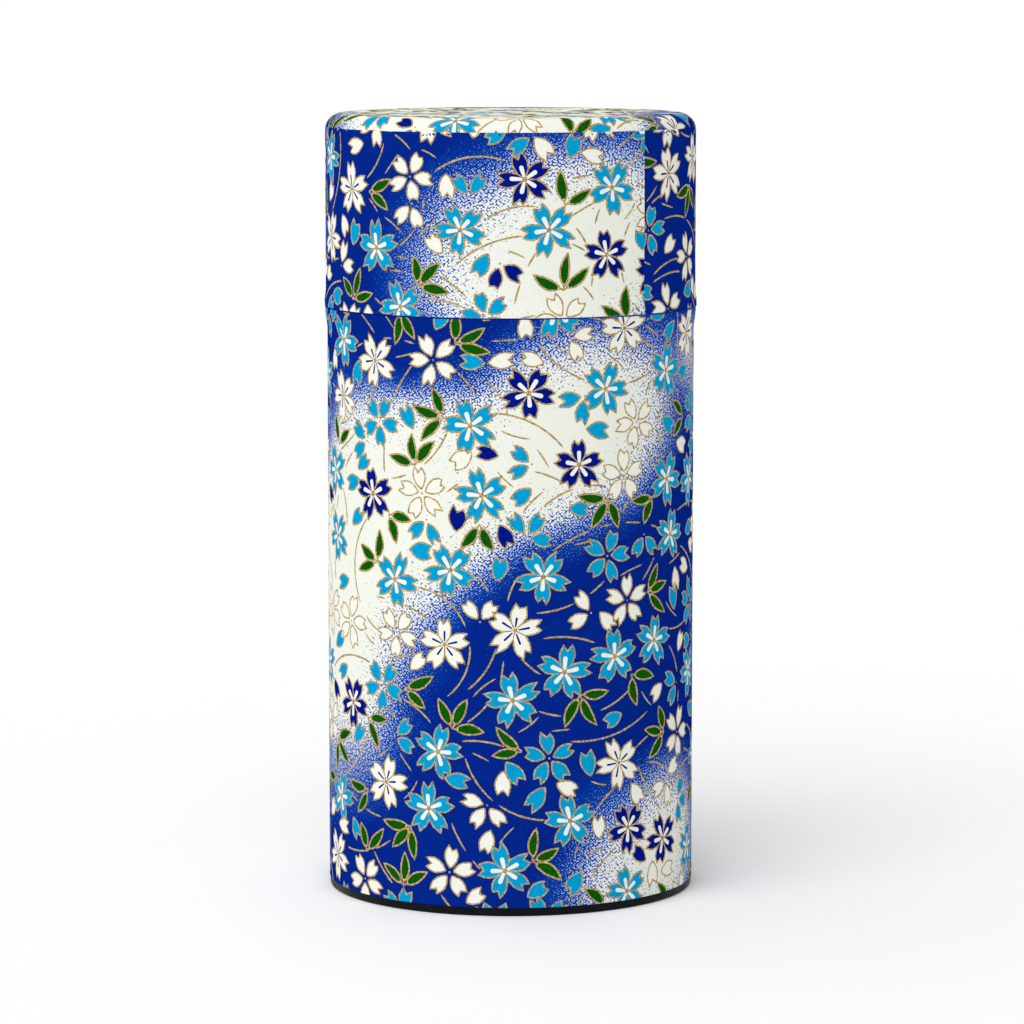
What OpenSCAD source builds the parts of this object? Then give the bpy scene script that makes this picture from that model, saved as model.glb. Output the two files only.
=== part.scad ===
// Paper-covered tinplate canister: a round can with a raised inner sleeve,
// a knobbed inner lid that plugs the sleeve, and a tall outer lid that slides
// down over the sleeve. Millimetres, +Z up, origin at the centre of the base.

/* [Overall] */
// Height of the closed canister, base to top
tin_h = 162; // [130:1:190]
// Height of the outer lid, from the joint line to the top
lid_h = 40; // [39:1:50]
// Outside diameter of the can over its paper
body_d = 76.4; // [60:0.2:90]
// How much wider the lid is than the can, on the diameter
lid_extra_d = 0.6; // [0.4:0.1:1.2]
// Radius of the lid's rounded shoulder
shoulder_r = 3.5; // [2.5:0.5:6]

/* [Sheet] */
// Thickness of the tinplate
tin_t = 0.3; // [0.25:0.01:0.35]
// Thickness of the covering paper
paper_t = 0.15; // [0.1:0.01:0.2]
// Width of the glued lap where a paper strip meets itself
lap_w = 4; // [3:0.5:8]
// Direction of the lid paper's exposed edge, in degrees from +X
lid_lap_angle = 314.5; // [0:0.5:359]
// Direction of the can paper's exposed edge, in degrees from +X
body_lap_angle = 118; // [0:1:359]

/* [Joint] */
// Outward swell of the lid's lower edge
lid_swell = 0.3; // [0.2:0.05:0.5]
// Height over which the lid's swell fades out
lid_swell_h = 4; // [3:0.5:8]
// Outward swell of the can's upper edge
body_swell = 0.45; // [0.3:0.05:0.6]
// Height over which the can's swell fades out
body_swell_h = 5; // [3:0.5:8]
// Gap between the lid's edge and the can's edge when closed
joint_gap = 0.15; // [0.1:0.05:0.3]

/* [Sleeve] */
// How far the inner sleeve rises above the joint line
sleeve_rise = 28; // [20:1:29]
// How far the inner sleeve reaches down inside the can
sleeve_depth = 18; // [10:1:30]
// Radial clearance between the lid's wall and the sleeve
lid_fit = 0.1; // [0.06:0.01:0.12]

/* [Inner lid] */
// Depth of the inner lid's skirt below its rim
plug_depth = 12; // [8:1:16]
// Radial clearance between the skirt and the sleeve
plug_fit = 0.1; // [0.06:0.01:0.12]
// Diameter of the knob's head
knob_d = 13; // [9:0.5:18]
// Height of the knob
knob_h = 9; // [6:0.5:9.5]

/* [Base] */
// Height of the black rim that shows below the paper
rim_h = 1.8; // [1.4:0.1:2.5]
// Thickness of the base plate
base_t = 0.35; // [0.3:0.01:0.4]
// Height of the recessed base panel above the ground
base_recess = 3; // [2.4:0.1:3.4]

/* [Hidden] */
$fn = 144;

joint_z = tin_h - lid_h;
lid_edge_z = joint_z + joint_gap;
// Outer surfaces of the bare tinplate
can_r = body_d / 2 - paper_t;
cap_r = body_d / 2 + lid_extra_d / 2 - paper_t;
cap_top_z = tin_h - paper_t;
cap_shoulder_r = shoulder_r - paper_t;
// Where the lid's top paper meets the side paper, up the shoulder
paper_join_a = 12;
paper_join_gap_a = 1;
// Bare tinplate edges at the joint, each wrapped by turned-in paper
can_top_z = joint_z - paper_t;
cap_edge_z = lid_edge_z + paper_t;
// Steps along each swollen stretch of a wall, and how many of them the turned-in paper covers
wall_steps = 8;
body_turn_steps = 3;
lid_turn_steps = 4;
arc_steps = 10;
side_steps = 2;
// Angles up the shoulder at which the side paper and the top paper bend
side_angles = [for (i = [0:side_steps]) paper_join_a * i / side_steps];
top_angles = [
    for (i = [0:arc_steps])
        let (from_a = paper_join_a + paper_join_gap_a) from_a + (90 - from_a) * i / arc_steps
];

// Sleeve: swaged out above the joint so that the lid fits closely
sleeve_low_r = can_r - tin_t;
sleeve_top_r = cap_r - tin_t - lid_fit;
sleeve_top_z = joint_z + sleeve_rise;
sleeve_foot_z = joint_z - sleeve_depth;
sleeve_swage_drop = 3.5;
sleeve_swage_h = 3;
sleeve_swage_z = joint_z - sleeve_swage_drop;
seam_w = 5;
seam_t = 0.12;
seam_gap = 1;
can_seam_angle = body_lap_angle + 30;

// Inner lid
plug_r = sleeve_top_r - tin_t - plug_fit;
plug_panel_drop = 1.2;
plug_foot_z = sleeve_top_z - plug_depth;
plug_panel_z = sleeve_top_z - plug_panel_drop;
plug_bead_share = 0.62;
plug_bead_r = plug_r * plug_bead_share;
plug_bead_w = 1.6;
plug_bead_h = 0.5;
rivet_r = 1.5;
rivet_reach = 5;
rivet_head_r = 3;
rivet_head_t = 0.8;
washer_r = 4.5;
washer_t = 0.5;
knob_foot_r = 4.2;
knob_waist_r = 3.2;
knob_waist_at = 0.45;
knob_foot_share = 0.06;
knob_head_share = 0.4;
knob_crown_share = 0.6;
knob_steps = 18;

// Base
rim_r = can_r;
rim_outer_corner_r = 0.8;
rim_inner_corner_r = 0.3;
hook_t = 2 * tin_t;
rim_inner_r = rim_r - 2 * base_t - hook_t;
hook_foot_z = 0.5;
hook_shift_h = 0.6;
panel_bead_share = 0.86;
panel_bead_r = rim_inner_r * panel_bead_share;
panel_bead_w = 3;
panel_bead_h = 0.5;

// Smooth step from 0 to 1
function ease(t) = (1 - cos(180 * min(max(t, 0), 1))) / 2;

function reversed(path) = [for (i = [len(path) - 1:-1:0]) path[i]];

// A band between two paths that run the same way
module band(outer_path, inner_path) {
    polygon(concat(outer_path, reversed(inner_path)));
}

// A ring turned about +Z from a band
module turned_band(outer_path, inner_path) {
    rotate_extrude() band(outer_path, inner_path);
}

// The same band over a short arc that ends at an angle, for laps and seams
module arc_band(outer_path, inner_path, angle, width, radius) {
    sweep = width / radius * 180 / PI;
    rotate([0, 0, angle - sweep])
        rotate_extrude(angle = sweep) band(outer_path, inner_path);
}

// Radius of the can's bare tinplate at a height, swelling towards its mouth
function can_wall_r(z) = can_r + body_swell * (1 - ease((can_top_z - z) / body_swell_h));

// Radius of the lid's bare tinplate at a height, swelling towards its edge
function cap_wall_r(z) = cap_r + lid_swell * (1 - ease((z - cap_edge_z) / lid_swell_h));

// Swollen stretch of the can's wall, from one of its steps up to the mouth, moved out by an offset
function can_mouth_path(from_step, off) = [
    for (i = [from_step:wall_steps])
        let (z = can_top_z - body_swell_h * (1 - i / wall_steps)) [can_wall_r(z) + off, z]
];

// Swollen stretch of the lid's wall, from its edge up to one of its steps, moved out by an offset
function cap_edge_path(to_step, off) = [
    for (i = [0:to_step])
        let (z = cap_edge_z + lid_swell_h * i / wall_steps) [cap_wall_r(z) + off, z]
];

// The lid's shoulder at some angles up from horizontal, moved out by an offset
function shoulder_path(angles, off) = [
    for (a = angles)
        let (r = cap_shoulder_r + off)
            [cap_r - cap_shoulder_r + r * cos(a), cap_top_z - cap_shoulder_r + r * sin(a)]
];

// Tinplate tube: a lapped side seam, a swollen mouth and a hooked lower end
module can_tube() {
    joggle_top_z = rim_h + hook_shift_h;
    hook_r = rim_r - base_t;
    seam_from_z = joggle_top_z + hook_shift_h;
    seam_to_z = sleeve_foot_z - seam_gap;
    color([0.80, 0.79, 0.75]) {
        turned_band(
            concat([[can_r, joggle_top_z]], can_mouth_path(0, 0)),
            concat([[can_r - tin_t, joggle_top_z]], can_mouth_path(0, -tin_t))
        );
        // Joggle inward to the hook, and the folded hook in the rim
        turned_band(
            [[hook_r, hook_foot_z], [hook_r, rim_h], [can_r, joggle_top_z]],
            [[hook_r - hook_t, hook_foot_z], [hook_r - hook_t, rim_h], [can_r - tin_t, joggle_top_z]]
        );
        // Welded lap of the side seam, on the inside
        arc_band(
            [[can_r - tin_t / 2, seam_from_z], [can_r - tin_t / 2, seam_to_z]],
            [[can_r - tin_t - seam_t, seam_from_z], [can_r - tin_t - seam_t, seam_to_z]],
            can_seam_angle, seam_w, can_r
        );
    }
}

// Black base plate: a recessed panel with a stiffening bead, seamed to the tube
module bottom_plate() {
    color([0.06, 0.06, 0.07])
        rotate_extrude()
            difference() {
                union() {
                    rim_outline();
                    // Inner leg up to the panel
                    translate([rim_inner_r, rim_inner_corner_r])
                        square([base_t, base_recess - rim_inner_corner_r]);
                    // Recessed panel
                    translate([0, base_recess]) square([rim_inner_r + base_t, base_t]);
                    // Stiffening bead, pressed down from the panel
                    translate([panel_bead_r, base_recess - panel_bead_h])
                        square([panel_bead_w, panel_bead_h + base_t]);
                }
                // Channel that holds the tube's hook
                translate([rim_inner_r + base_t, hook_foot_z]) square([hook_t, rim_h]);
                // Hollow side of the bead
                translate([panel_bead_r + base_t, base_recess - panel_bead_h + base_t])
                    square([panel_bead_w - 2 * base_t, panel_bead_h + base_t]);
            }
}

// Section of the rim: straight sides, rounded lower corners, a narrow flat crest
module rim_outline() {
    difference() {
        translate([rim_inner_r, 0]) square([rim_r - rim_inner_r, rim_h]);
        corner_cut(rim_inner_r, rim_inner_corner_r, 1);
        corner_cut(rim_r, rim_outer_corner_r, -1);
    }
}

// What a rounded lower corner leaves out; the corner's circle lies on the given side of its edge
module corner_cut(edge_r, radius, side) {
    over = 0.1;
    difference() {
        translate([side > 0 ? edge_r - over : edge_r - radius, -over])
            square([radius + over, radius + over]);
        translate([edge_r + side * radius, radius]) circle(r = radius);
    }
}

// Inner sleeve: held in the can's mouth, wider above it to carry the lid
module inner_sleeve() {
    color([0.86, 0.85, 0.81])
        turned_band(
            [
                [sleeve_low_r, sleeve_foot_z],
                [sleeve_low_r, sleeve_swage_z],
                [sleeve_top_r, sleeve_swage_z + sleeve_swage_h],
                [sleeve_top_r, sleeve_top_z]
            ],
            [
                [sleeve_low_r - tin_t, sleeve_foot_z],
                [sleeve_low_r - tin_t, sleeve_swage_z],
                [sleeve_top_r - tin_t, sleeve_swage_z + sleeve_swage_h],
                [sleeve_top_r - tin_t, sleeve_top_z]
            ]
        );
}

// Can's printed paper: one strip round the tube, turned in over its mouth
module body_paper() {
    turn_step = wall_steps - body_turn_steps;
    mouth_r = can_wall_r(can_top_z);
    color([0.10, 0.22, 0.68]) {
        turned_band(
            concat([[can_r + paper_t, rim_h]], can_mouth_path(0, paper_t), [[mouth_r, joint_z]],
                [[mouth_r - tin_t, joint_z]], reversed(can_mouth_path(turn_step, -tin_t - paper_t))),
            concat([[can_r, rim_h]], can_mouth_path(0, 0), reversed(can_mouth_path(turn_step, -tin_t)))
        );
        arc_band(
            concat([[can_r + 2 * paper_t, rim_h]], can_mouth_path(0, 2 * paper_t)),
            concat([[can_r + paper_t / 2, rim_h]], can_mouth_path(0, paper_t / 2)),
            body_lap_angle, lap_w, can_r
        );
    }
}

// Inner lid: a shallow pan whose skirt plugs the sleeve and whose rim rests on it
module inner_lid() {
    pan_r = plug_r - tin_t;
    color([0.86, 0.85, 0.81])
        difference() {
            rotate_extrude()
                difference() {
                    union() {
                        // Rim over the sleeve's edge
                        translate([pan_r, sleeve_top_z]) square([sleeve_top_r - pan_r, tin_t]);
                        // Skirt inside the sleeve
                        translate([pan_r, plug_foot_z]) square([tin_t, plug_depth + tin_t]);
                        // Panel, a little below the rim
                        translate([0, plug_panel_z]) square([pan_r + tin_t / 2, tin_t]);
                        // Ring bead, pressed up from the panel
                        translate([plug_bead_r, plug_panel_z])
                            square([plug_bead_w, tin_t + plug_bead_h]);
                    }
                    // Hollow side of the bead
                    translate([plug_bead_r + tin_t, plug_panel_z - tin_t])
                        square([plug_bead_w - 2 * tin_t, tin_t + plug_bead_h]);
                }
            cylinder_at(rivet_r, plug_panel_z - tin_t, plug_panel_z + 2 * tin_t);
        }
}

// A cylinder on the centre line between two heights
module cylinder_at(radius, from_z, to_z) {
    translate([0, 0, from_z]) cylinder(r = radius, h = to_z - from_z);
}

// Side of the knob between its foot and its head: in to a waist, then out again
function knob_side_r(t) = t < knob_waist_at
    ? knob_foot_r + (knob_waist_r - knob_foot_r) * ease(t / knob_waist_at)
    : knob_waist_r + (knob_d / 2 - knob_waist_r) * ease((t - knob_waist_at) / (1 - knob_waist_at));

// Turned knob, with a blind hole for its rivet
module inner_lid_knob() {
    foot_z = plug_panel_z + tin_t;
    side_from_z = foot_z + knob_h * knob_foot_share;
    side_to_z = foot_z + knob_h * (1 - knob_head_share);
    crown_r = knob_h * knob_head_share * knob_crown_share;
    crown_z = foot_z + knob_h - crown_r;
    color([0.05, 0.05, 0.06])
        rotate_extrude()
            difference() {
                polygon(concat(
                    [[0, foot_z], [knob_foot_r, foot_z]],
                    [for (i = [0:knob_steps])
                        let (t = i / knob_steps)
                            [knob_side_r(t), side_from_z + (side_to_z - side_from_z) * t]],
                    [for (i = [0:arc_steps])
                        let (a = 90 * i / arc_steps)
                            [knob_d / 2 - crown_r + crown_r * cos(a), crown_z + crown_r * sin(a)]],
                    [[0, foot_z + knob_h]]
                ));
                translate([0, foot_z - tin_t]) square([rivet_r, rivet_reach + tin_t]);
            }
}

// Washer under the panel
module knob_washer() {
    color([0.78, 0.77, 0.72])
        difference() {
            cylinder_at(washer_r, plug_panel_z - washer_t, plug_panel_z);
            cylinder_at(rivet_r, plug_panel_z - 2 * washer_t, plug_panel_z + washer_t);
        }
}

// Rivet that holds the knob, washer and panel together
module knob_rivet() {
    head_top_z = plug_panel_z - washer_t;
    color([0.70, 0.70, 0.72]) {
        cylinder_at(rivet_r, head_top_z - rivet_head_t / 2, plug_panel_z + tin_t + rivet_reach);
        cylinder_at(rivet_head_r, head_top_z - rivet_head_t, head_top_z);
    }
}

// Drawn lid: flat top, rounded shoulder, swollen lower edge
module lid_shell() {
    angles = concat(side_angles, top_angles);
    color([0.80, 0.79, 0.75])
        turned_band(
            concat(cap_edge_path(wall_steps, 0), shoulder_path(angles, 0), [[0, cap_top_z]]),
            concat(cap_edge_path(wall_steps, -tin_t), shoulder_path(angles, -tin_t),
                [[0, cap_top_z - tin_t]])
        );
}

// Lid's side paper: a strip with a lap, turned in under the lower edge
module lid_side_paper() {
    edge_r = cap_wall_r(cap_edge_z);
    color([0.90, 0.91, 0.88]) {
        turned_band(
            concat(
                reversed(cap_edge_path(lid_turn_steps, -tin_t - paper_t)),
                [[edge_r - tin_t, lid_edge_z], [edge_r, lid_edge_z]],
                cap_edge_path(wall_steps, paper_t), shoulder_path(side_angles, paper_t)
            ),
            concat(
                reversed(cap_edge_path(lid_turn_steps, -tin_t)),
                cap_edge_path(wall_steps, 0), shoulder_path(side_angles, 0)
            )
        );
        arc_band(
            concat(cap_edge_path(wall_steps, 2 * paper_t), shoulder_path(side_angles, 2 * paper_t)),
            concat(cap_edge_path(wall_steps, paper_t / 2), shoulder_path(side_angles, paper_t / 2)),
            lid_lap_angle, lap_w, cap_r
        );
    }
}

// Lid's top paper: a disc pressed down over the shoulder
module lid_top_paper() {
    color([0.90, 0.91, 0.88])
        turned_band(
            concat(shoulder_path(top_angles, paper_t), [[0, cap_top_z + paper_t]]),
            concat(shoulder_path(top_angles, 0), [[0, cap_top_z]])
        );
}

can_tube();
bottom_plate();
inner_sleeve();
body_paper();
inner_lid();
inner_lid_knob();
knob_washer();
knob_rivet();
lid_shell();
lid_side_paper();
lid_top_paper();
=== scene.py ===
import math
import random

import bmesh
import bpy
import numpy as np
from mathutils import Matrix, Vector, noise


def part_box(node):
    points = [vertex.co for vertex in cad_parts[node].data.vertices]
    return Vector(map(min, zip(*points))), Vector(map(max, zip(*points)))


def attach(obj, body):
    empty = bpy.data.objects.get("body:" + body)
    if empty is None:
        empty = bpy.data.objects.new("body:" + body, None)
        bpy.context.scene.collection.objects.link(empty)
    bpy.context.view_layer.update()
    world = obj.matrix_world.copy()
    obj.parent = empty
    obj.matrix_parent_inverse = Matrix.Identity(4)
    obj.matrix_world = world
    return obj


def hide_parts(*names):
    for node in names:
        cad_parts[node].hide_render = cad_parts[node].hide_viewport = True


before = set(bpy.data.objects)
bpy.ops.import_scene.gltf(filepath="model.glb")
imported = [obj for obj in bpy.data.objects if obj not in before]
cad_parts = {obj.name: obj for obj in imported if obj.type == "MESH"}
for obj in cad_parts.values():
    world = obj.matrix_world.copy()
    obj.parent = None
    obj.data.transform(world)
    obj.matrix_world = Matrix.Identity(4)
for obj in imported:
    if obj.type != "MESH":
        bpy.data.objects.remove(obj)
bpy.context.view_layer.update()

# A canister covered in printed paper. Shapes are worked out in millimetres and become metres in
# make_mesh. Three sheets of paper cover it: one round the can, one round the outer lid and one over
# the lid's top. Each sheet is printed flat, in its own plane (u to the right and v up, as seen from
# outside), then wrapped.
MM = 0.001


def box_mm(node):
    """A CAD node's lowest and highest corners, in millimetres."""
    low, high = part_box(node)
    return low / MM, high / MM


# ---------------- sizes

# Thickness of the tinplate, of the base plate and of the paper
TIN_T = 0.3
BASE_T = 0.35
PAPER_T = 0.15
# Width of the glued lap, and the length over which the paper climbs on to it
LAP_W = 4.0
LAP_RAMP = 4.0
SHOULDER_R = 3.5
# Outward swell of each wall at the joint, its height, and how far the paper is turned in
BODY_SWELL, BODY_SWELL_H, BODY_TURN = 0.45, 5.0, 1.875
LID_SWELL, LID_SWELL_H, LID_TURN = 0.3, 4.0, 2.0
# The inner lid's clearance in the sleeve, and the hole for its knob's rivet
PLUG_FIT = 0.1
RIVET_R = 1.5
# The sleeve widens over a short stretch that starts below the joint
SWAGE_DROP, SWAGE_H = 3.5, 3.0
# Pressed rings: their inner radius as a share of the panel's, their width and their height
PLUG_BEAD_SHARE, PLUG_BEAD_W, PLUG_BEAD_H = 0.62, 1.6, 0.5
BASE_BEAD_SHARE, BASE_BEAD_W, BASE_BEAD_H = 0.86, 3.0, 0.5
# Height of the can's folded hook above the ground, inside the base's rim
HOOK_FOOT_Z = 0.5
# Directions from +X of the two laps' exposed edges and of the front
BODY_LAP_ANGLE = math.radians(118)
LID_LAP_ANGLE = math.radians(314.5)
FRONT_ANGLE = math.radians(270)

RIM_R = box_mm("bottom_plate")[1].x
RIM_H = box_mm("body_paper")[0].z
JOINT_Z = box_mm("body_paper")[1].z
LID_EDGE_Z = box_mm("lid_side_paper")[0].z
SIDE_JOIN_Z = box_mm("lid_side_paper")[1].z
TOP_JOIN_Z = box_mm("lid_top_paper")[0].z
TOP_Z = box_mm("lid_top_paper")[1].z
SLEEVE_LOW_Z = box_mm("inner_sleeve")[0].z
SLEEVE_TOP_R = box_mm("inner_sleeve")[1].x
SLEEVE_TOP_Z = box_mm("inner_sleeve")[1].z
PLUG_FOOT_Z = box_mm("inner_lid")[0].z
PANEL_TOP_Z = box_mm("inner_lid_knob")[0].z
BASE_PANEL_TOP_Z = box_mm("bottom_plate")[1].z

CAN_R = RIM_R
CAN_TOP_Z = JOINT_Z - PAPER_T
CAP_R = box_mm("lid_shell")[1].x - LID_SWELL
CAP_EDGE_Z = LID_EDGE_Z + PAPER_T
# How loosely the lid's paper is folded round its edge, so that it nearly meets the can's paper
LOOSE_FOLD = 0.1
# Outer radius of the flat part of the lid's top
FLAT_R = CAP_R + PAPER_T - SHOULDER_R


def ease(t):
    """Smooth step from 0 to 1."""
    return (1 - math.cos(math.pi * min(max(t, 0), 1))) / 2


# ---------------- the three sheets of paper


def can_wall_r(z):
    """Outer radius of the can's bare tinplate, swelling towards its mouth."""
    return CAN_R + BODY_SWELL * (1 - ease((CAN_TOP_Z - z) / BODY_SWELL_H))


def cap_wall_r(z):
    """Outer radius of the lid's bare tinplate, swelling towards its edge and rounded at its shoulder."""
    swell = LID_SWELL * (1 - ease((z - CAP_EDGE_Z) / LID_SWELL_H))
    rise = max(z - (TOP_Z - SHOULDER_R), 0)
    return CAP_R + swell - (SHOULDER_R - math.sqrt(SHOULDER_R**2 - rise**2))


class SideSheet:
    """A strip wrapped round a wall. u runs round from the lap's exposed edge, and v is the height."""

    # How often faces are split where the sheet is tightly curved
    bend_passes = 0

    def __init__(self, wall_r, radius, lap_angle, low, high, patches, ground_is_blue):
        self.wall_r = wall_r
        self.radius = radius
        self.lap_angle = lap_angle
        self.length = 2 * math.pi * radius
        self.low, self.high = low, high
        self.front_u = (FRONT_ANGLE - lap_angle) % (2 * math.pi) * radius
        self.patches, self.ground_is_blue = patches, ground_is_blue

    def lap_rise(self, u):
        """How far the strip's end lies above the rest, on top of its own beginning."""
        return PAPER_T * ease((u - self.length + LAP_W + LAP_RAMP) / LAP_RAMP)

    def angle(self, u):
        return self.lap_angle + u / self.radius

    def at(self, u, v, height):
        """Where a flat point lies on the wrapped sheet, at a height over its surface."""
        r = self.wall_r(v) + PAPER_T + self.lap_rise(u) + height
        a = self.angle(u)
        return (r * math.cos(a), r * math.sin(a), v)

    def blue(self, u, v):
        """How blue the ground is, 0 to 1. Patches are placed from the middle of the front."""
        return shade_of(self.patches, self.ground_is_blue, u - self.front_u, v)

    def clip_planes(self):
        """Lines that cut the print at the sheet's edges, each a point and the way out."""
        return [
            ((0, 0), (-1, 0)),
            ((self.length, 0), (1, 0)),
            ((0, self.low), (0, -1)),
            ((0, self.high), (0, 1)),
        ]

    def window(self):
        return (0, self.low, self.length, self.high)


class TopSheet:
    """A disc pressed over the lid's top and shoulder. u and v are +X and +Y while it is flat."""

    bend_passes = 3

    def __init__(self, patches, ground_is_blue):
        self.patches, self.ground_is_blue = patches, ground_is_blue
        sink = (TOP_Z - SHOULDER_R - TOP_JOIN_Z) / SHOULDER_R
        self.last_turn = math.pi / 2 + math.asin(sink)
        self.reach = FLAT_R + SHOULDER_R * self.last_turn

    def at(self, u, v, height):
        rho = math.hypot(u, v)
        if rho <= FLAT_R:
            return (u, v, TOP_Z + height)
        turn = (min(rho, self.reach) - FLAT_R) / SHOULDER_R
        r = FLAT_R + (SHOULDER_R + height) * math.sin(turn)
        z = TOP_Z - SHOULDER_R + (SHOULDER_R + height) * math.cos(turn)
        return (u / rho * r, v / rho * r, z)

    def blue(self, u, v):
        return shade_of(self.patches, self.ground_is_blue, u, v)

    def bends_at(self, p):
        """Whether the sheet is tightly curved here, so that print on it needs small faces."""
        return math.hypot(p.x, p.y) > FLAT_R - 0.5

    def clip_planes(self):
        """The disc's edge, as the sides of a polygon round it."""
        sides = 96
        turns = [2 * math.pi * i / sides for i in range(sides)]
        ways = [(math.cos(a), math.sin(a)) for a in turns]
        return [((self.reach * x, self.reach * y), (x, y)) for x, y in ways]

    def window(self):
        return (-self.reach, -self.reach, self.reach, self.reach)


def shade_of(patches, ground_is_blue, u, v):
    """Blends soft oval patches of the other colour over the ground. A patch is (u, v, half width,
    half height, tilt in degrees, softness), in millimetres."""
    clear = 1.0
    wobble = 2.5 * noise.noise(Vector((u / 14, v / 14, 0.3)))
    for pu, pv, half_w, half_h, tilt, soft in patches:
        du, dv = u - pu, v - pv
        c, s = math.cos(math.radians(tilt)), math.sin(math.radians(tilt))
        x, y = (du * c + dv * s) / half_w, (dv * c - du * s) / half_h
        outside = (math.hypot(x, y) - 1) * min(half_w, half_h) + wobble
        clear *= min(max(0.5 + outside / (2 * soft), 0), 1)
    return clear if ground_is_blue else 1 - clear


# The patches of shade_of: white ones on the two strips, where u is 0 at the middle of the front, and
# blue ones on the top
BODY = SideSheet(
    can_wall_r, CAN_R + PAPER_T, BODY_LAP_ANGLE, RIM_H, CAN_TOP_Z,
    [
        (10, 98, 29, 16, 24, 11),
        (-26, 84, 20, 17, 6, 12),
        (-44, 62, 21, 32, -8, 14),
        (35, 10, 17, 13, 22, 13),
        (84, 62, 24, 17, 30, 13),
        (68, 110, 13, 10, -20, 12),
        (-92, 26, 22, 14, -24, 13),
        (-104, 96, 19, 14, 34, 12),
        (122, 16, 17, 12, 15, 12),
    ],
    True,
)
LID = SideSheet(
    cap_wall_r, CAP_R + PAPER_T, LID_LAP_ANGLE, CAP_EDGE_Z - LOOSE_FOLD, SIDE_JOIN_Z,
    [
        (13, 134, 29, 19, 12, 12),
        (-88, 146, 24, 14, -18, 12),
        (-152, 138, 22, 15, 20, 12),
    ],
    True,
)
TOP = TopSheet(
    [
        (39, -8, 12, 36, 0, 8),
        (0, 37, 38, 7, 0, 6),
        (-42, -4, 7, 24, 0, 7),
    ],
    False,
)


# ---------------- meshes

# Points round a turned piece
COLUMNS = 240


def make_mesh(name, points, faces):
    """A smooth mesh object from millimetre points."""
    mesh = bpy.data.meshes.new(name)
    mesh.from_pydata([(x * MM, y * MM, z * MM) for x, y, z in points], [], faces)
    piece = bpy.data.objects.new(name, mesh)
    bpy.context.scene.collection.objects.link(piece)
    mesh.shade_smooth()
    return piece


def finish_piece(piece, body, material, replaces=()):
    """Sharpens a piece's hard edges, gives it its material and its body, and hides the CAD nodes that it
    replaces.
    """
    piece.data.set_sharp_from_angle(angle=math.radians(40))
    piece.data.materials.append(material)
    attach(piece, body)
    if replaces:
        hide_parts(*replaces)


def tidy_mesh(mesh):
    """Welds points that coincide, drops faces with no area and turns the rest outwards."""
    merge = 1e-7
    bm = bmesh.new()
    bm.from_mesh(mesh)
    bmesh.ops.remove_doubles(bm, verts=bm.verts, dist=merge)
    bmesh.ops.dissolve_degenerate(bm, dist=merge, edges=bm.edges)
    bmesh.ops.recalc_face_normals(bm, faces=bm.faces)
    bm.to_mesh(mesh)
    bm.free()


def creased_fold(outer_r, inner_r, edge_z, tip_z):
    """Section of paper folded tightly over an edge, from its outer face to its inner one."""
    crease = 0.04
    bend_z = tip_z - crease if tip_z > edge_z else tip_z + crease
    return [(outer_r, bend_z), (outer_r - crease, tip_z), (inner_r + crease, tip_z), (inner_r, bend_z)]


def spaced(low, high, step):
    """Evenly spaced numbers from low to high, no further apart than step."""
    count = max(1, math.ceil((high - low) / step))
    return [low + (high - low) * i / count for i in range(count + 1)]


def ring_faces(columns, rows):
    """Faces of a closed ring whose columns each hold the points of one closed section."""
    faces = []
    for i in range(columns):
        here, there = i * rows, (i + 1) % columns * rows
        for j in range(rows):
            k = (j + 1) % rows
            faces.append((here + j, there + j, there + k, here + k))
    return faces


def wrapped_strip(name, sheet, section, inner_from):
    """A closed strip of paper wrapped round a wall. section holds (radius, height) points, of which
    those before inner_from lie outside and rise over the lap. Each point keeps where it is on the
    flat sheet."""
    ramp_from = sheet.length - LAP_W - LAP_RAMP
    us = spaced(0, ramp_from, 1.0) + spaced(ramp_from, sheet.length, 0.5)[1:]
    points, flat, blue = [], [], []
    for u in us:
        a, rise = sheet.angle(u), sheet.lap_rise(u)
        for i, (r, z) in enumerate(section):
            out = r + (rise if i < inner_from else 0)
            points.append((out * math.cos(a), out * math.sin(a), z))
            v = z if i < inner_from else sheet.high + abs(z - sheet.high)
            flat.append((u, v, 0))
            blue.append(sheet.blue(u, v))
    piece = make_mesh(name, points, ring_faces(len(us), len(section)))
    keep_print(piece.data, flat, blue)
    tidy_mesh(piece.data)
    return piece


def keep_print(mesh, flat, blue):
    """Stores each point's place on the flat sheet and how blue its ground is."""
    place = mesh.attributes.new("flat", "FLOAT_VECTOR", "POINT")
    place.data.foreach_set("vector", [x for p in flat for x in p])
    shade = mesh.attributes.new("blue", "FLOAT", "POINT")
    shade.data.foreach_set("value", blue)


def body_section():
    """Section of the can's paper: up the wall, over the mouth, and down a little way inside."""
    straight_top = CAN_TOP_Z - BODY_SWELL_H
    heights = spaced(RIM_H, straight_top, 2.0) + spaced(straight_top, CAN_TOP_Z, 0.5)[1:]
    mouth = can_wall_r(CAN_TOP_Z)
    turn = spaced(CAN_TOP_Z - BODY_TURN, CAN_TOP_Z, 0.5)
    outside = [(can_wall_r(z) + PAPER_T, z) for z in heights]
    fold = creased_fold(mouth + PAPER_T, mouth - TIN_T - PAPER_T, CAN_TOP_Z, CAN_TOP_Z + PAPER_T)
    hem = [(can_wall_r(z) - TIN_T - PAPER_T, z) for z in reversed(turn[:-1])]
    back = [(can_wall_r(z) - TIN_T, z) for z in turn] + [(can_wall_r(z), z) for z in reversed(heights)]
    return outside + fold + hem + back, len(outside)


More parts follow.
